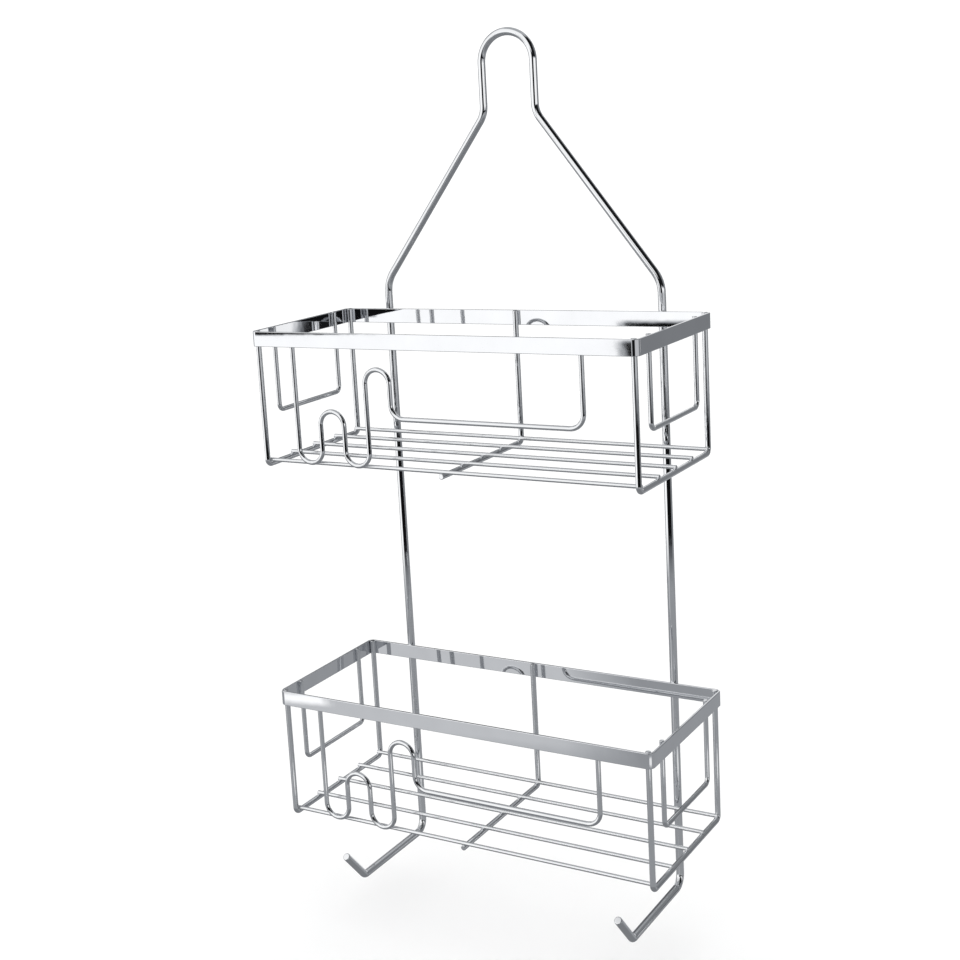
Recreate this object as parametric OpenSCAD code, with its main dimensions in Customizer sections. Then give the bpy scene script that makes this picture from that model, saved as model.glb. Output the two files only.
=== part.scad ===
// Two-tier wire shower caddy.
// One bent wire hangs over a shower arm, runs down behind two open baskets and ends in two hooks.
// Each basket is a flat rim band with bent wires welded inside it. Welded parts sink into each
// other by the weld depth, and nothing moves.
// Frame: +X to the right, +Y towards the wall, +Z up. The origin is the hanging point: the inner
// top of the crest, in the plane of the hanger wire.

/* [Baskets] */
// Outer width of a basket, end to end
basket_width = 260; // [200:1:320]
// Outer depth of a basket, front to back
basket_depth = 110; // [80:1:140]
// Height of a basket, from the top of its band to the underside of its end hoops
basket_height = 87; // [73:1:110]
// Distance from the upper basket down to the lower one
basket_pitch = 236; // [190:1:290]

/* [Rim band] */
// Height of the flat strip that rims a basket
band_height = 9.5; // [6:0.5:14]
// Thickness of the strip
band_thickness = 1.5; // [1:0.1:2]
// Outer radius of the strip's corners
band_corner = 4; // [4:0.5:7]

/* [Hanger] */
// Thickness of the hanger wire
hanger_wire = 5; // [4:0.5:6]
// Clear width inside the neck, where the shower arm goes
neck_opening = 31; // [26:1:38]
// Drop from the hanging point to the bends at the foot of the neck
neck_drop = 47; // [38:1:60]
// Drop from the hanging point to the shoulder bends
shoulder_drop = 152; // [125:1:185]
// Drop from the shoulder bends to the top of the upper band
shoulder_to_band = 18; // [14:1:30]
// Distance from each end of a basket in to the upright behind it
upright_inset = 32.5; // [24:0.5:45]
// Radius of the bends at the foot of the neck
neck_bend = 15; // [10:1:20]
// Radius of the shoulder bends
shoulder_bend = 22; // [12:1:28]

/* [Hooks] */
// Drop from the underside of the lower basket to the hook arms
hook_gap = 51.5; // [30:0.5:70]
// Reach of the hook arms in front of the uprights
hook_reach = 77; // [50:1:100]
// Length of the turned-up tips, from the corner of the bend
hook_tip = 29.5; // [20:0.5:40]
// Rise of the tips above the level
hook_tip_angle = 48; // [30:1:70]
// Radius of the bend from each upright into its hook arm
hook_arm_bend = 8; // [6:0.5:12]
// Radius of the bend from each hook arm into its tip
hook_tip_bend = 5; // [4:0.5:8]

/* [Basket wires] */
// Thickness of the end hoops and the centre stay
hoop_wire = 3.5; // [2.8:0.1:4.2]
// Radius of the bends in the end hoops and the centre stay
hoop_bend = 3.5; // [3:0.5:6]
// Thickness of the guard loops
guard_wire = 3; // [2.4:0.1:3.6]
// Distance from the front and back of the basket in to the legs of a guard loop
guard_inset = 21; // [16:0.5:27]
// Drop from the top of the band to the runs of the guard loops
guard_drop = 53.5; // [36:0.5:60]
// Radius of the bends in the guard loops
guard_bend = 4; // [3:0.5:6]
// Thickness of the floor wires
floor_wire = 2.5; // [2:0.1:3]
// Number of floor wires in each basket
floor_wires = 5; // [3:1:8]
// How far the wires that end in the band stand above its top
leg_rise = 0.2; // [0:0.1:1.5]

/* [Wave wire] */
// Thickness of the wave wire
wave_wire = 3; // [2.4:0.1:3.6]
// Distance between the legs of its loops
wave_pitch = 17.3; // [14:0.1:20]
// Distance from the left end of the basket in to the first leg
wave_start = 29.5; // [22:0.5:36]
// Distance from the right end of the basket in to the last leg
wave_end = 35; // [22:0.5:48]
// Drop from the top of the band to the low loop
low_loop_drop = 49; // [36:0.5:49.5]
// Drop from the top of the band to the tall loop
tall_loop_drop = 22; // [18:0.5:28]
// Drop from the top of the band to the long rail
rail_drop = 51.5; // [49:0.5:60]

/* [Hidden] */
$fn = 48;
TIERS = ["upper", "lower"];
SIDES = ["left", "right"];

// How deep welded parts sink into each other
weld = 0.2;

// A bend stops this far short of the straights beside it, and a ball this much thicker than the
// wire fills each gap
joint_gap = 0.1;
joint_swell = 0.04;

// Hanger: its wire lies in the plane y = 0, and the crest's inner top is at z = 0
crest_radius = (neck_opening + hanger_wire) / 2;
crest_z = hanger_wire / 2;
upright_x = basket_width / 2 - upright_inset;
hook_z = -(shoulder_drop + shoulder_to_band + basket_pitch + basket_height + hook_gap);

// Basket: its back band is welded to the front of the uprights. In a basket's own frame z = 0 is
// the top of its band.
back_y = weld - hanger_wire / 2;
front_y = back_y - basket_depth;

// End hoops: their legs nest in the rounded corners of the band, nearer to its front and back
nest = band_corner - band_thickness - hoop_wire / 2 + weld;
nest_angle = 22.5;
hoop_inset = band_corner - nest * cos(nest_angle);
hoop_x = basket_width / 2 - band_corner + nest * sin(nest_angle);
hoop_front_y = front_y + hoop_inset;
hoop_back_y = back_y - hoop_inset;
hoop_z = hoop_wire / 2 - basket_height;

// Guard loops: flat against the inside of the end bands
guard_x = basket_width / 2 - band_thickness - guard_wire / 2 + weld;

// Wave wire: against the inside of the front band, its loops standing in front of the floor
wave_y = front_y + band_thickness + wave_wire / 2 - weld;
wave_leg_drop = 1.5;
wave_bend = wave_pitch / 2;

// Floor wires: laid across the runs of the end hoops. The first and the last one are pressed into
// the hoops' bends, and the first one meets the feet of the wave wire's loops from behind.
floor_z = hoop_z + (hoop_wire + floor_wire) / 2 - weld;
foot_lift = 0.5;
foot_z = floor_z + foot_lift;
floor_inset = band_thickness + wave_wire + floor_wire / 2 - 2 * weld;
floor_front_y = front_y + floor_inset;
floor_step = (basket_depth - 2 * floor_inset) / (floor_wires - 1);
floor_overhang = 1;
floor_end_x = hoop_x + floor_overhang;

// Centre stay: against the inside of the back band, then forward under the floor wires
stay_y = back_y - band_thickness - hoop_wire / 2 + weld;
stay_end_y = floor_front_y - floor_wire / 2;

function basket_z(tier) = -(shoulder_drop + shoulder_to_band) - (tier == "lower" ? basket_pitch : 0);
function side_sign(side) = side == "left" ? -1 : 1;
function unit(v) = v / norm(v);
function mirrored(p) = [-p.x, p.y, p.z];

// Angle that a wire turns at corner i of its path, and the length its bend takes off each side
function turn(path, i) = acos(unit(path[i] - path[i - 1]) * unit(path[i + 1] - path[i]));
function setback(path, bends, i) = i == 0 || i == len(path) - 1 ? 0 : bends[i - 1] * tan(turn(path, i) / 2);

// Axis that a wire turns about at corner i, and the twist about the wire from the axis before
function bend_axis(path, i) = unit(cross(path[i] - path[i - 1], path[i + 1] - path[i]));
function twist(path, i) = i == 1 ? 0 :
    let (before = bend_axis(path, i - 1), after = bend_axis(path, i))
        atan2(cross(before, after) * unit(path[i] - path[i - 1]), before * after);

// Ball that closes a joint of the wire at the origin
module joint(wire) {
    sphere(d = wire + joint_swell);
}

// Bend of round wire: it starts at the origin along +Z and turns towards +X
module wire_bend(radius, angle, wire) {
    trim = joint_gap / radius * 180 / PI;
    translate([radius, 0, 0])
        rotate([90, 0, 180])
            rotate([0, 0, trim])
                rotate_extrude(angle = angle - 2 * trim)
                    translate([radius, 0])
                        circle(d = wire);
}

// Rest of a wire from corner i on, in a frame where the wire so far ends at the origin along +Z
module wire_from(path, bends, wire, i) {
    straight = norm(path[i + 1] - path[i]) - setback(path, bends, i) - setback(path, bends, i + 1);
    if (straight > joint_gap) {
        cylinder(h = straight, d = wire);
        if (i > 0)
            joint(wire);
    }
    if (i < len(path) - 2) {
        radius = bends[i];
        angle = turn(path, i + 1);
        translate([0, 0, straight])
            rotate([0, 0, twist(path, i + 1)]) {
                joint(wire);
                wire_bend(radius, angle, wire);
                translate([radius, 0, 0])
                    rotate([0, angle, 0])
                        translate([-radius, 0, 0])
                            wire_from(path, bends, wire, i + 1);
            }
    }
}

// Round wire along a path of corner points, with a bend radius for each inner corner
module bent_wire(path, bends, wire) {
    heading = unit(path[1] - path[0]);
    axis = bend_axis(path, 1);
    side = cross(axis, heading);
    multmatrix([
        [side.x, axis.x, heading.x, path[0].x],
        [side.y, axis.y, heading.y, path[0].y],
        [side.z, axis.z, heading.z, path[0].z],
        [0, 0, 0, 1]
    ])
        wire_from(path, bends, wire, 0);
}

// One wire: hook tip, hook arm, upright, shoulder and neck, over the crest and down the other side
module hanger_frame() {
    tip_run = hook_tip * cos(hook_tip_angle);
    tip_rise = hook_tip * sin(hook_tip_angle);
    left_half = [
        [-upright_x, -hook_reach - tip_run, hook_z + tip_rise],
        [-upright_x, -hook_reach, hook_z],
        [-upright_x, 0, hook_z],
        [-upright_x, 0, -shoulder_drop],
        [-crest_radius, 0, -neck_drop],
        [-crest_radius, 0, crest_z]
    ];
    right_half = [for (i = [len(left_half) - 1 : -1 : 0]) mirrored(left_half[i])];
    left_bends = [hook_tip_bend, hook_arm_bend, shoulder_bend, neck_bend, crest_radius];
    right_bends = [for (i = [len(left_bends) - 1 : -1 : 0]) left_bends[i]];
    color("silver")
        bent_wire(concat(left_half, right_half), concat(left_bends, right_bends), hanger_wire);
}

// One straight side of the band, from a corner along +X at the strip's outer face
module band_side(length) {
    translate([0, 0, -band_height])
        cube([length, band_thickness, band_height]);
}

// One rounded corner of the band: a quarter turn about the Z axis
module band_quarter() {
    translate([0, 0, -band_height])
        rotate_extrude(angle = 90)
            translate([band_corner - band_thickness, 0])
                square([band_thickness, band_height]);
}

// Flat strip bent to a closed ring around the top of a basket
module rim_band() {
    centre = [0, (front_y + back_y) / 2, 0];
    half = [basket_width / 2, basket_depth / 2];
    long_side = basket_width - 2 * band_corner;
    short_side = basket_depth - 2 * band_corner;
    color("lightgray")
        translate(centre)
            for (turned = [0, 180])
                rotate([0, 0, turned]) {
                    translate([-long_side / 2, -half.y, 0])
                        band_side(long_side);
                    translate([half.x, -short_side / 2, 0])
                        rotate([0, 0, 90])
                            band_side(short_side);
                    translate([long_side / 2, short_side / 2, 0])
                        band_quarter();
                    translate([long_side / 2, -short_side / 2, 0])
                        rotate([0, 0, -90])
                            band_quarter();
                }
}

// U of wire at one end: down a front corner, back along the floor and up the back corner
module end_hoop(side) {
    x = side_sign(side) * hoop_x;
    color("silver")
        bent_wire(
            [
                [x, hoop_front_y, leg_rise],
                [x, hoop_front_y, hoop_z],
                [x, hoop_back_y, hoop_z],
                [x, hoop_back_y, leg_rise]
            ],
            [hoop_bend, hoop_bend],
            hoop_wire
        );
}

// Smaller U hung from the band at one end, to keep bottles from sliding out
module guard_loop(side) {
    x = side_sign(side) * guard_x;
    front = front_y + guard_inset;
    back = back_y - guard_inset;
    color("silver")
        bent_wire(
            [[x, front, leg_rise], [x, front, -guard_drop], [x, back, -guard_drop], [x, back, leg_rise]],
            [guard_bend, guard_bend],
            guard_wire
        );
}

// L of wire: down the middle of the back and forward under the floor wires
module centre_stay() {
    color("silver")
        bent_wire(
            [[0, stay_y, 0], [0, stay_y, hoop_z], [0, stay_end_y, hoop_z]],
            [hoop_bend],
            hoop_wire
        );
}

// One straight wire of the floor, counted from the front
module floor_wire_at(i) {
    y = floor_front_y + (i - 1) * floor_step;
    color("gainsboro")
        translate([-floor_end_x, y, floor_z])
            rotate([0, 90, 0])
                cylinder(h = 2 * floor_end_x, d = floor_wire);
}

// Front wire: down to the floor, a low loop, a tall loop, a long rail and up to the band again
module front_wave_wire() {
    left = wave_start - basket_width / 2;
    end = -wave_leg_drop;
    levels = [end, foot_z, -low_loop_drop, foot_z, -tall_loop_drop, -rail_drop, end];
    loop_legs = [for (i = [0 : len(levels) - 3]) left + i * wave_pitch];
    legs = concat(loop_legs, [basket_width / 2 - wave_end]);
    path = [for (i = [0 : len(legs) - 1]) each [[legs[i], wave_y, levels[i]], [legs[i], wave_y, levels[i + 1]]]];
    color("silver")
        bent_wire(path, [for (i = [1 : len(path) - 2]) wave_bend], wave_wire);
}

hanger_frame();
for (tier = TIERS) translate([0, 0, basket_z(tier)]) {
    rim_band();
    for (side = SIDES) {
        end_hoop(side);
        guard_loop(side);
    }
    centre_stay();
    for (i = [1 : floor_wires])
        floor_wire_at(i);
    front_wave_wire();
}
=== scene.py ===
import math

import bpy
from mathutils import Matrix, Vector


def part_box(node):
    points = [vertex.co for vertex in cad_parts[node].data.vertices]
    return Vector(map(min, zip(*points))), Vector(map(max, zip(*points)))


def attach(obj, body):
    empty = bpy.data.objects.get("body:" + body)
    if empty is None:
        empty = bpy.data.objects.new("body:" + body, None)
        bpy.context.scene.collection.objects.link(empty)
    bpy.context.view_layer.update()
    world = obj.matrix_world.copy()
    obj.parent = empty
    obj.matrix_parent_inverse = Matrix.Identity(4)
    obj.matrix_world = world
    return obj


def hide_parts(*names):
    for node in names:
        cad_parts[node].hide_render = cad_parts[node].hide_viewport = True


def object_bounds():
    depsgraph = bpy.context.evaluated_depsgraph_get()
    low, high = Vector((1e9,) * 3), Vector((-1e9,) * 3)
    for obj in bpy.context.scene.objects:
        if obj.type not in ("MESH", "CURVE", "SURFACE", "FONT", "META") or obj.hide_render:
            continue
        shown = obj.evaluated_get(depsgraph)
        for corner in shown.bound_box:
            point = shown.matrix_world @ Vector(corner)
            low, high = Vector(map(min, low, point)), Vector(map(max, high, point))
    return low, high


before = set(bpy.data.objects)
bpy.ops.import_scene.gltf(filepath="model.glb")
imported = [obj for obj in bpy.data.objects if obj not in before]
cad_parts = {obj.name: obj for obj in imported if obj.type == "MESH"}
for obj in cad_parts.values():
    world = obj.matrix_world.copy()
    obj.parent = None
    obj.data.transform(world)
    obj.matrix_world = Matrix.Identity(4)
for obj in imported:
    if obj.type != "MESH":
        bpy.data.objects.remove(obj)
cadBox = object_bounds()
print("frame loaded:", len(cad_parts), "nodes")

mm = 0.001
tiers = ["upper", "lower"]
sides = {"left": -1, "right": 1}
mesh = {
    "around": 24,  # sides of a basket wire
    "hangerAround": 32,
    "bendStep": math.radians(6),
    "bandStep": math.radians(7.5),
    "shortest": 0.01 * mm,  # a shorter straight is left out
    "merge": 0.02 * mm,
    "wireSmooth": 40,
    "edgeSmooth": 60,
}


class Paint:  # shader maths: an expression on these adds its own nodes
    def __init__(self, tree, socket):
        self.tree = tree
        self.socket = socket

    def plus(self, kind, first, second):
        return addNode(self.tree, "ShaderNodeMath", {"operation": kind}, {0: first, 1: second}).out(0)

    def __add__(self, other):
        return self.plus("ADD", self, other)

    def __sub__(self, other):
        return self.plus("SUBTRACT", self, other)

    def __mul__(self, other):
        return self.plus("MULTIPLY", self, other)

    def __truediv__(self, other):
        return self.plus("DIVIDE", self, other)

    def __rsub__(self, other):
        return self.plus("SUBTRACT", other, self)

    __radd__ = __add__
    __rmul__ = __mul__

    def clamped(self):
        return addNode(self.tree, "ShaderNodeClamp", {}, {0: self, 1: 0.0, 2: 1.0}).out(0)


class Added:
    def __init__(self, tree, node):
        self.tree = tree
        self.node = node

    def out(self, key):
        return Paint(self.tree, self.node.outputs[key])


def addNode(tree, kind, settings, inputs):  # settings first, then the values or links of the sockets
    node = tree.nodes.new(kind)
    for key, value in settings.items():
        setattr(node, key, value)
    for key, value in inputs.items():
        if isinstance(value, Paint):
            tree.links.new(value.socket, node.inputs[key])
        else:
            node.inputs[key].default_value = value
    return Added(tree, node)


def selectOnly(piece):
    bpy.ops.object.select_all(action="DESELECT")
    piece.select_set(True)
    bpy.context.view_layer.objects.active = piece


def pullFace(step):  # extrudes what is selected by a step
    if step.length > mesh["shortest"]:
        bpy.ops.mesh.extrude_region_move(TRANSFORM_OT_translate={"value": step})


def bendFace(centre, axis, angle, stepAngle):  # spins what is selected round a bend
    steps = max(3, round(angle / stepAngle))
    bpy.ops.mesh.spin(steps=steps, angle=-angle, center=centre, axis=axis)


def followPath(corners, radii, stepAngle):  # straight, bend, straight ... along the corner points
    here = corners[0]
    for i, radius in enumerate(radii, 1):
        before = (corners[i] - corners[i - 1]).normalized()
        after = (corners[i + 1] - corners[i]).normalized()
        angle = before.angle(after)
        setback = radius * math.tan(angle / 2)
        bendStart = corners[i] - before * setback
        pullFace(bendStart - here)
        axis = before.cross(after).normalized()
        bendFace(bendStart + radius * axis.cross(before), axis, angle, stepAngle)
        here = corners[i] + after * setback
    pullFace(corners[-1] - here)


cutEnd = {"bevel": 0.13, "segments": 3}  # bevel as a share of the wire's thickness


def roundCutEnds(wire, thickness, around):  # the two faces with the most corners are the cut ends
    bpy.ops.mesh.select_all(action="DESELECT")
    bpy.ops.object.mode_set(mode="OBJECT")
    for face in wire.data.polygons:
        face.select = len(face.vertices) == around
    bpy.ops.object.mode_set(mode="EDIT")
    bpy.ops.mesh.region_to_loop()
    bpy.ops.mesh.bevel(offset=cutEnd["bevel"] * thickness, segments=cutEnd["segments"], affect="EDGES")


def finishMesh(piece, smoothAngle):  # normals out, smooth shading, ready to ride
    bpy.ops.mesh.select_all(action="SELECT")
    bpy.ops.mesh.normals_make_consistent(inside=False)
    bpy.ops.object.mode_set(mode="OBJECT")
    selectOnly(piece)
    bpy.ops.object.shade_smooth_by_angle(angle=math.radians(smoothAngle))
    even = piece.modifiers.new("evenNormals", "WEIGHTED_NORMAL")  # long flats stay flat beside small bevels
    even.keep_sharp = True
    bpy.ops.object.modifier_apply(modifier=even.name)


def bendWire(name, corners, radii, thickness, around=mesh["around"]):
    corners = [Vector(corner) for corner in corners]
    turned = (corners[1] - corners[0]).to_track_quat("Z", "Y").to_euler()
    bpy.ops.object.select_all(action="DESELECT")
    bpy.ops.mesh.primitive_circle_add(
        vertices=around, radius=thickness / 2, fill_type="NGON", location=corners[0], rotation=turned
    )
    wire = bpy.context.object
    wire.name = name
    bpy.ops.object.transform_apply(location=True, rotation=True, scale=True)
    bpy.ops.object.mode_set(mode="EDIT")
    bpy.ops.mesh.select_mode(type="FACE")
    bpy.ops.mesh.select_all(action="SELECT")
    followPath(corners, radii, mesh["bendStep"])
    roundCutEnds(wire, thickness, around)
    finishMesh(wire, mesh["wireSmooth"])
    return wire


def copyPiece(piece, name, shift):  # a copy with its own mesh, moved in its mesh
    twin = piece.copy()
    twin.data = piece.data.copy()
    twin.name = name
    bpy.context.scene.collection.objects.link(twin)
    twin.data.transform(Matrix.Translation(shift))
    return twin


def mirrorPiece(piece, name):  # a copy on the other side of the plane x = 0
    twin = copyPiece(piece, name, Vector((0, 0, 0)))
    selectOnly(twin)
    bpy.ops.object.mode_set(mode="EDIT")
    bpy.ops.mesh.select_all(action="SELECT")
    bpy.ops.transform.resize(value=(-1, 1, 1), center_override=(0, 0, 0))
    finishMesh(twin, mesh["wireSmooth"])
    return twin


def settle(piece, node):  # one new piece stands for one node of the frame
    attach(piece, "root")
    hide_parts(node)


hanger = {
    "wire": 5 * mm,
    "neckOpening": 31 * mm,
    "neckDrop": 47 * mm,
    "shoulderDrop": 152 * mm,
    "neckBend": 15 * mm,
    "shoulderBend": 22 * mm,
    "hookReach": 77 * mm,
    "hookTip": 29.5 * mm,
    "hookTipAngle": math.radians(48),
    "hookArmBend": 8 * mm,
    "hookTipBend": 5 * mm,
}


def makeHanger():
    low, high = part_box("hanger_frame")
    half = hanger["wire"] / 2
    uprightX = high.x - half
    armZ = low.z + half
    crest = (hanger["neckOpening"] + hanger["wire"]) / 2
    tipRun = hanger["hookTip"] * math.cos(hanger["hookTipAngle"])
    tipRise = hanger["hookTip"] * math.sin(hanger["hookTipAngle"])
    left = [
        (-uprightX, -hanger["hookReach"] - tipRun, armZ + tipRise),
        (-uprightX, -hanger["hookReach"], armZ),
        (-uprightX, 0, armZ),
        (-uprightX, 0, -hanger["shoulderDrop"]),
        (-crest, 0, -hanger["neckDrop"]),
        (-crest, 0, high.z - half),
    ]
    right = [(-x, y, z) for x, y, z in reversed(left)]
    bends = [hanger["hookTipBend"], hanger["hookArmBend"], hanger["shoulderBend"], hanger["neckBend"], crest]
    wire = bendWire("hangerWire", left + right, bends + bends[::-1], hanger["wire"], mesh["hangerAround"])
    settle(wire, "hanger_frame")
    return wire


hangerWire = makeHanger()
print("hanger bent")


band = {"height": 9.5 * mm, "thickness": 1.5 * mm, "corner": 4 * mm, "edge": 0.35 * mm, "edgeSegments": 3}


def makeBand(tier):
    low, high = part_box(tier + "_rim_band")
    middle = (low + high) / 2
    half = band["thickness"] / 2
    backY = high.y - half
    frontY = low.y + half
    endX = high.x - half
    bpy.ops.object.select_all(action="DESELECT")
    bpy.ops.mesh.primitive_plane_add(size=1, location=(0, backY, middle.z), rotation=(0, math.pi / 2, 0))
    ring = bpy.context.object
    ring.name = tier + "RimBand"
    bpy.ops.object.transform_apply(location=True, rotation=True, scale=True)
    bpy.ops.object.mode_set(mode="EDIT")
    bpy.ops.mesh.select_all(action="SELECT")
    bpy.ops.transform.resize(
        value=(1, band["thickness"], band["height"]), center_override=(0, backY, middle.z)
    )
    bpy.ops.mesh.bevel(offset=band["edge"], segments=band["edgeSegments"], affect="VERTICES")
    bpy.ops.mesh.select_all(action="SELECT")
    bpy.ops.mesh.delete(type="ONLY_FACE")
    bpy.ops.mesh.select_mode(type="EDGE")
    bpy.ops.mesh.select_all(action="SELECT")
    bend = band["corner"] - half
    route = [(0, backY), (endX, backY), (endX, frontY), (-endX, frontY), (-endX, backY), (0, backY)]
    corners = [Vector((x, y, middle.z)) for x, y in route]
    followPath(corners, [bend] * 4, mesh["bandStep"])
    bpy.ops.mesh.select_all(action="SELECT")
    bpy.ops.mesh.remove_doubles(threshold=mesh["merge"])
    finishMesh(ring, mesh["edgeSmooth"])
    settle(ring, tier + "_rim_band")
    return ring


rimBands = {tier: makeBand(tier) for tier in tiers}
print("rim bands rolled")


basket = {
    "hoopWire": 3.5 * mm,
    "hoopBend": 3.5 * mm,
    "guardWire": 3 * mm,
    "guardBend": 4 * mm,
    "floorWire": 2.5 * mm,
    "floorWires": 5,
    "waveWire": 3 * mm,
    "wavePitch": 17.3 * mm,
    "waveFootDrop": 81.95 * mm,
    "lowLoopDrop": 49 * mm,
    "tallLoopDrop": 22 * mm,
    "railDrop": 51.5 * mm,
}


def makeHoop(node, name, thickness, bend):  # a U of wire, legs up, in a plane of constant x
    low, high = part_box(node)
    half = thickness / 2
    x = (low.x + high.x) / 2
    front, back, bottom = low.y + half, high.y - half, low.z + half
    corners = [(x, front, high.z), (x, front, bottom), (x, back, bottom), (x, back, high.z)]
    return bendWire(name, corners, [bend, bend], thickness)


def makeStay():
    low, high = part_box("upper_centre_stay")
    half = basket["hoopWire"] / 2
    corners = [(0, high.y - half, high.z), (0, high.y - half, low.z + half), (0, low.y, low.z + half)]
    return bendWire("upperCentreStay", corners, [basket["hoopBend"]], basket["hoopWire"])


def makeFloorWire(i):
    low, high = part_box("upper_floor_wire_" + str(i))
    middle = (low + high) / 2
    ends = [(low.x, middle.y, middle.z), (high.x, middle.y, middle.z)]
    return bendWire("upperFloorWire" + str(i), ends, [], basket["floorWire"])


def makeWave():
    low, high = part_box("upper_front_wave_wire")
    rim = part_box("upper_rim_band")[1].z
    half = basket["waveWire"] / 2
    y = (low.y + high.y) / 2
    foot = rim - basket["waveFootDrop"]
    firstX = low.x + half
    levels = [
        high.z,
        foot,
        rim - basket["lowLoopDrop"],
        foot,
        rim - basket["tallLoopDrop"],
        rim - basket["railDrop"],
        high.z,
    ]
    legs = [firstX + i * basket["wavePitch"] for i in range(len(levels) - 2)] + [high.x - half]
    corners = []
    for i, x in enumerate(legs):
        corners += [(x, y, levels[i]), (x, y, levels[i + 1])]
    bends = [basket["wavePitch"] / 2] * (len(corners) - 2)
    return bendWire("upperFrontWaveWire", corners, bends, basket["waveWire"])


def makeBasketWires():  # {node name without its tier: upper piece}
    made = {}
    left = makeHoop("upper_left_end_hoop", "upperLeftEndHoop", basket["hoopWire"], basket["hoopBend"])
    made["left_end_hoop"] = left
    made["right_end_hoop"] = mirrorPiece(left, "upperRightEndHoop")
    left = makeHoop("upper_left_guard_loop", "upperLeftGuardLoop", basket["guardWire"], basket["guardBend"])
    made["left_guard_loop"] = left
    made["right_guard_loop"] = mirrorPiece(left, "upperRightGuardLoop")
    made["centre_stay"] = makeStay()
    for i in range(1, basket["floorWires"] + 1):
        made["floor_wire_" + str(i)] = makeFloorWire(i)
    made["front_wave_wire"] = makeWave()
    return made


upperWires = makeBasketWires()
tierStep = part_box("lower_rim_band")[1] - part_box("upper_rim_band")[1]
lowerWires = {}
for part, piece in upperWires.items():
    lowerWires[part] = copyPiece(piece, piece.name.replace("upper", "lower"), tierStep)
for tier, wires in (("upper", upperWires), ("lower", lowerWires)):
    for part, piece in wires.items():
        settle(piece, tier + "_" + part)
print("basket wires bent:", len(upperWires) + len(lowerWires))


weld = {
    "padThick": 0.9 * mm,
    "padHeight": 6.5 * mm,
    "padWidth": 2.3 * mm,
    "crossing": (2.7 * mm, 2.4 * mm, 0.9 * mm),
    "foot": (3.0 * mm, 0.9 * mm, 2.2 * mm),
    "upright": (3.4 * mm, 0.9 * mm, 7.5 * mm),
    "cornerAngle": math.radians(22.5),
    "feetAt": (0.5, 2.5),  # in wave pitches from the wave's first leg
    "around": 14,
    "bevel": 0.34,  # of the nugget's width
    "bevelSegments": 3,
}


def makeNugget():  # squeezed-out metal of one weld, 1 unit across
    bpy.ops.object.select_all(action="DESELECT")
    bpy.ops.mesh.primitive_cylinder_add(vertices=weld["around"], radius=0.5, depth=1)
    nugget = bpy.context.object
    nugget.name = "nugget"
    bpy.ops.object.mode_set(mode="EDIT")
    bpy.ops.mesh.select_mode(type="FACE")
    bpy.ops.mesh.select_all(action="DESELECT")
    bpy.ops.object.mode_set(mode="OBJECT")
    for face in nugget.data.polygons:
        face.select = abs(face.normal.z) > 0.5
    bpy.ops.object.mode_set(mode="EDIT")
    bpy.ops.mesh.region_to_loop()
    bpy.ops.mesh.bevel(offset=weld["bevel"], segments=weld["bevelSegments"], affect="EDGES")
    finishMesh(nugget, mesh["edgeSmooth"])
    return nugget


def middleOf(node):
    low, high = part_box(node)
    return (low + high) / 2


def weldSpots(tier):  # [(place, size, turn about Z)] of every weld in one basket
    spots = []
    rimLow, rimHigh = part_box(tier + "_rim_band")
    rimZ = (rimLow.z + rimHigh.z) / 2
    frontIn = rimLow.y + band["thickness"]
    backIn = rimHigh.y - band["thickness"]
    endPad = (weld["padThick"], weld["padWidth"], weld["padHeight"])
    sidePad = (weld["padWidth"], weld["padThick"], weld["padHeight"])
    for side, sign in sides.items():
        hoopLow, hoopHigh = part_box(tier + "_" + side + "_end_hoop")
        half = basket["hoopWire"] / 2
        hoopX = (hoopLow.x + hoopHigh.x) / 2
        for y, away in ((hoopLow.y + half, -1), (hoopHigh.y - half, 1)):
            turn = weld["cornerAngle"]
            place = (hoopX + sign * half * math.sin(turn), y + away * half * math.cos(turn), rimZ)
            spots.append((place, sidePad, -sign * away * turn))
        guardLow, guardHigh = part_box(tier + "_" + side + "_guard_loop")
        for y in (guardLow.y + basket["guardWire"] / 2, guardHigh.y - basket["guardWire"] / 2):
            spots.append(((sign * (rimHigh.x - band["thickness"]), y, rimZ), endPad, 0))
        for i in range(1, basket["floorWires"] + 1):
            crossing = middleOf(tier + "_floor_wire_" + str(i))
            z = crossing.z - basket["floorWire"] / 2
            spots.append(((hoopX, crossing.y, z), weld["crossing"], 0))
        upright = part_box("hanger_frame")[1].x - hanger["wire"] / 2
        spots.append(((sign * upright, rimHigh.y, rimZ), weld["upright"], 0))
    for i in range(1, basket["floorWires"] + 1):
        crossing = middleOf(tier + "_floor_wire_" + str(i))
        spots.append(((0, crossing.y, crossing.z - basket["floorWire"] / 2), weld["crossing"], 0))
    waveLow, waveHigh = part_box(tier + "_front_wave_wire")
    half = basket["waveWire"] / 2
    for x in (waveLow.x + half, waveHigh.x - half):
        spots.append(((x, frontIn, rimZ), sidePad, 0))
    spots.append(((0, backIn, rimZ), sidePad, 0))
    firstWire = middleOf(tier + "_floor_wire_1")
    for loops in weld["feetAt"]:  # the two feet of the wave stand on either side of its low loop
        x = waveLow.x + half + loops * basket["wavePitch"]
        spots.append(((x, waveHigh.y, firstWire.z), weld["foot"], 0))
    return spots


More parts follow.
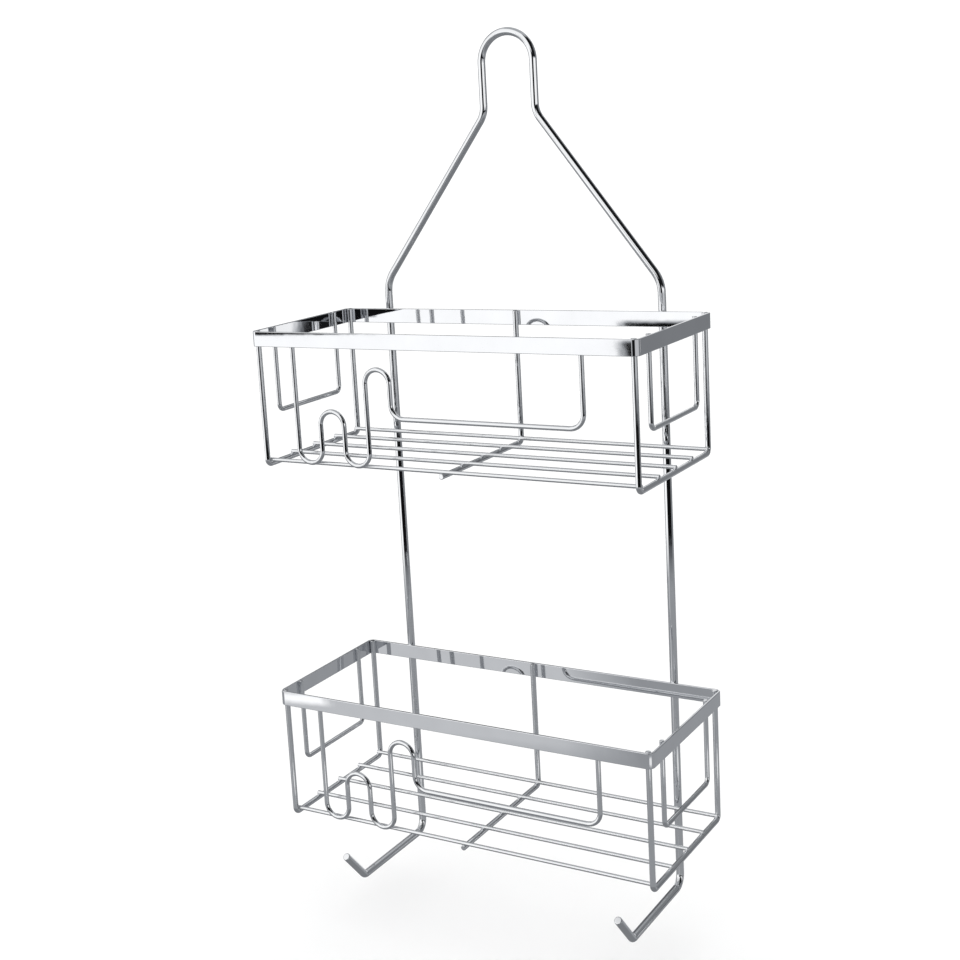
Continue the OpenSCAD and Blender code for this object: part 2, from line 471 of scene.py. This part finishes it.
def makeWelds(tier, nugget):
    nuggets = []
    for place, size, turn in weldSpots(tier):
        one = copyPiece(nugget, tier + "Nugget", Vector((0, 0, 0)))
        scaled = Matrix.Diagonal(Vector(size).to_4d())
        one.data.transform(Matrix.Translation(place) @ Matrix.Rotation(turn, 4, "Z") @ scaled)
        nuggets.append(one)
    bpy.ops.object.select_all(action="DESELECT")
    for one in nuggets:
        one.select_set(True)
    bpy.context.view_layer.objects.active = nuggets[0]
    bpy.ops.object.join()
    welds = nuggets[0]
    welds.name = tier + "Welds"
    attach(welds, "root")
    return welds


nugget = makeNugget()
weldPieces = [makeWelds(tier, nugget) for tier in tiers]
bpy.data.objects.remove(nugget)
print("welds set")


chrome = {
    "hangerWire": {"colour": (0.80, 0.81, 0.825), "rough": 0.02, "smear": 0.03, "ripple": 0.03},
    "rimStrip": {"colour": (0.80, 0.81, 0.83), "rough": 0.015, "smear": 0.03, "ripple": 0.012},
    "basketWire": {"colour": (0.80, 0.81, 0.825), "rough": 0.025, "smear": 0.03, "ripple": 0.03},
    "weldNugget": {"colour": (0.66, 0.67, 0.69), "rough": 0.16, "smear": 0.12, "ripple": 0.3},
}


film = {
    "cloud": (55.0, 3.0),  # scale and detail
    "speck": (900.0, 2.0),
    "swell": (130.0, 1.0),
    "dulling": 0.93,
    "rippleHeight": 0.0004,
}


def noise(tree, place, scale, detail):
    return addNode(tree, "ShaderNodeTexNoise", {}, {"Vector": place, "Scale": scale, "Detail": detail}).out(0)


def chromePlate(name, look):
    material = bpy.data.materials.new(name)
    material.use_nodes = True
    tree = material.node_tree
    tree.nodes.clear()
    place = addNode(tree, "ShaderNodeTexCoord", {}, {}).out("Object")
    cloud, speck, swell = [noise(tree, place, *film[name]) for name in ("cloud", "speck", "swell")]
    thin = (cloud * 1.6 - 0.3).clamped()  # where the film of dried water is thin
    dull = tuple(film["dulling"] * c for c in look["colour"]) + (1,)
    bright = tuple(look["colour"]) + (1,)
    colour = addNode(tree, "ShaderNodeMix", {"data_type": "RGBA"}, {0: thin, 6: dull, 7: bright}).out(2)
    rough = look["rough"] + look["smear"] * (1 - thin) * (speck * 1.2)
    bump = {"Strength": look["ripple"], "Distance": film["rippleHeight"], "Height": swell}
    ripple = addNode(tree, "ShaderNodeBump", {}, bump).out(0)
    shader = addNode(
        tree,
        "ShaderNodeBsdfPrincipled",
        {},
        {"Base Color": colour, "Metallic": 1.0, "Roughness": rough, "Normal": ripple},
    ).out(0)
    addNode(tree, "ShaderNodeOutputMaterial", {}, {"Surface": shader})
    return material


def coat(piece, material):
    piece.data.materials.clear()
    piece.data.materials.append(material)


plates = {name: chromePlate(name, look) for name, look in chrome.items()}
coat(hangerWire, plates["hangerWire"])
for ring in rimBands.values():
    coat(ring, plates["rimStrip"])
for piece in list(upperWires.values()) + list(lowerWires.values()):
    coat(piece, plates["basketWire"])
for welds in weldPieces:
    coat(welds, plates["weldNugget"])
print("chrome plated")


studio = {
    "azimuth": math.radians(32.940),
    "elevation": math.radians(10.854),
    "roll": math.radians(-3.751),
    "cameraPlace": (0.46822, -0.88319, -0.04664),
    "lens": 58.90,
    "sensor": 36.0,
    "shift": (0.0946, -0.0604),
    "floorDrop": 25 * mm,
    "floorSize": 12.0,
    "floorColour": (0.93, 0.93, 0.93, 1),
}


def makeCamera():
    az, el, roll = studio["azimuth"], studio["elevation"], studio["roll"]
    forward = Vector((-math.sin(az) * math.cos(el), math.cos(az) * math.cos(el), -math.sin(el)))
    level = Vector((math.cos(az), math.sin(az), 0))
    upright = level.cross(forward)
    right = level * math.cos(roll) + upright * math.sin(roll)
    up = upright * math.cos(roll) - level * math.sin(roll)
    data = bpy.data.cameras.new("camera")
    data.lens = studio["lens"]
    data.sensor_width = studio["sensor"]
    data.shift_x, data.shift_y = studio["shift"]
    camera = bpy.data.objects.new("camera", data)
    bpy.context.scene.collection.objects.link(camera)
    turn = Matrix((right, up, -forward)).transposed().to_4x4()
    camera.matrix_world = Matrix.Translation(studio["cameraPlace"]) @ turn
    bpy.context.scene.camera = camera


makeCamera()


def makeFloor():
    bpy.ops.object.select_all(action="DESELECT")
    bpy.ops.mesh.primitive_plane_add(
        size=studio["floorSize"], location=(0, 0, cadBox[0].z - studio["floorDrop"])
    )
    floor = bpy.context.object
    floor.name = "floor"
    floor.visible_glossy = False
    material = bpy.data.materials.new("paleFloor")
    material.use_nodes = True
    shader = material.node_tree.nodes["Principled BSDF"]
    shader.inputs["Base Color"].default_value = studio["floorColour"]
    shader.inputs["Roughness"].default_value = 1.0
    shader.inputs["Specular IOR Level"].default_value = 0.0
    floor.data.materials.append(material)


makeFloor()

# Panels of the studio, as the chrome sees them: (azimuths, elevations, softness, brightness), in
# degrees from the camera's side, to the right and up. A later panel stands in front.
room = {
    "azimuth": math.radians(32.4),  # where the panels' azimuth 0 lies
    "walls": 0.62,
    "cool": (0.92, 0.965, 1.035, 1),
    "open": 1.16,  # what the floor and the camera see
    "panels": [
        ((-200, 200), (58, 95), 12, 0.48),  # ceiling
        ((-115, 70), (-3, 58), 8, 1.15),  # big front softbox
        ((-11, 105), (5.5, 62), 5, 0.012),  # dark above the right softbox
        ((70, 200), (-25, 36), 9, 0.24),  # dim sides
        ((-200, -112), (-25, 40), 9, 0.24),
        ((140, 172), (-26, 24), 5, 0.95),  # softboxes behind
        ((-172, -136), (-26, 24), 5, 0.95),
        ((176, 200), (-30, 40), 3, 0.05),  # a dark slit between them
        ((-200, -178), (-30, 40), 3, 0.05),
        ((-112, -50), (-17, 4), 2, 1.25),  # left softbox
        ((-200, 200), (-95, -16.5), 2.5, 0.36),  # table top
        ((-80, -58), (-24, -16.5), 3, 0.66),  # its lit left part
        ((-200, 200), (-95, -32), 9, 0.25),  # table under the object
        ((-74, -68.4), (-20.85, -19.9), 0.5, 1.3),  # a narrow lamp at the left
        ((4, 44), (-23.9, -22.9), 0.4, 1.0),  # a gleam on it
        ((-48, 66), (-16.5, -10.5), 2.0, 0.006),  # gap under the softboxes
        ((-38, 6), (-12, 12), 4, 0.008),  # gap between the softboxes
        ((-56.7, -50), (-10.5, -7.9), 0.5, 0.005),  # stand of the left softbox
        ((-75, -65.6), (-7.1, -4), 0.15, 0.008),  # dark bar on the left softbox
        ((106, 111.6), (-9, -4.5), 0.6, 1.1),  # lamp at the right
        ((111.6, 118), (-9, -3), 0.6, 0.01),  # its dark edge
    ],
}


def makeWorld():
    world = bpy.data.worlds.new("studio")
    bpy.context.scene.world = world
    world.use_nodes = True
    tree = world.node_tree
    tree.nodes.clear()
    way = addNode(tree, "ShaderNodeTexCoord", {}, {}).out("Generated")
    parts = addNode(tree, "ShaderNodeSeparateXYZ", {}, {0: way})
    x, y, z = parts.out(0), parts.out(1), parts.out(2)
    sideways = x * math.cos(room["azimuth"]) + y * math.sin(room["azimuth"])
    towards = x * math.sin(room["azimuth"]) - y * math.cos(room["azimuth"])
    azimuth = sideways.plus("ARCTAN2", sideways, towards) * math.degrees(1)
    elevation = z.plus("ARCSINE", z, 0.0) * math.degrees(1)
    shown = room["walls"]
    for (left, right), (low, high), soft, bright in room["panels"]:
        across = ((azimuth - left) / soft + 0.5).clamped() * ((right - azimuth) / soft + 0.5).clamped()
        upward = ((elevation - low) / soft + 0.5).clamped() * ((high - elevation) / soft + 0.5).clamped()
        mask = across * upward
        shown = mask * bright + (1 - mask) * shown
    glossy = addNode(tree, "ShaderNodeLightPath", {}, {}).out("Is Glossy Ray")
    plain = 1.0 - glossy  # camera and diffuse rays meet a plain white room
    strength = plain * room["open"] + glossy * shown
    shade = glossy * (1 - shown).clamped()  # the dimmer a panel is, the cooler its grey
    white = (1, 1, 1, 1)
    tint = addNode(tree, "ShaderNodeMix", {"data_type": "RGBA"}, {0: shade, 6: white, 7: room["cool"]}).out(2)
    light = addNode(tree, "ShaderNodeBackground", {}, {"Color": tint, "Strength": strength}).out(0)
    addNode(tree, "ShaderNodeOutputWorld", {}, {"Surface": light})


makeWorld()
bpy.context.scene.view_settings.view_transform = "Standard"
print("studio lit")
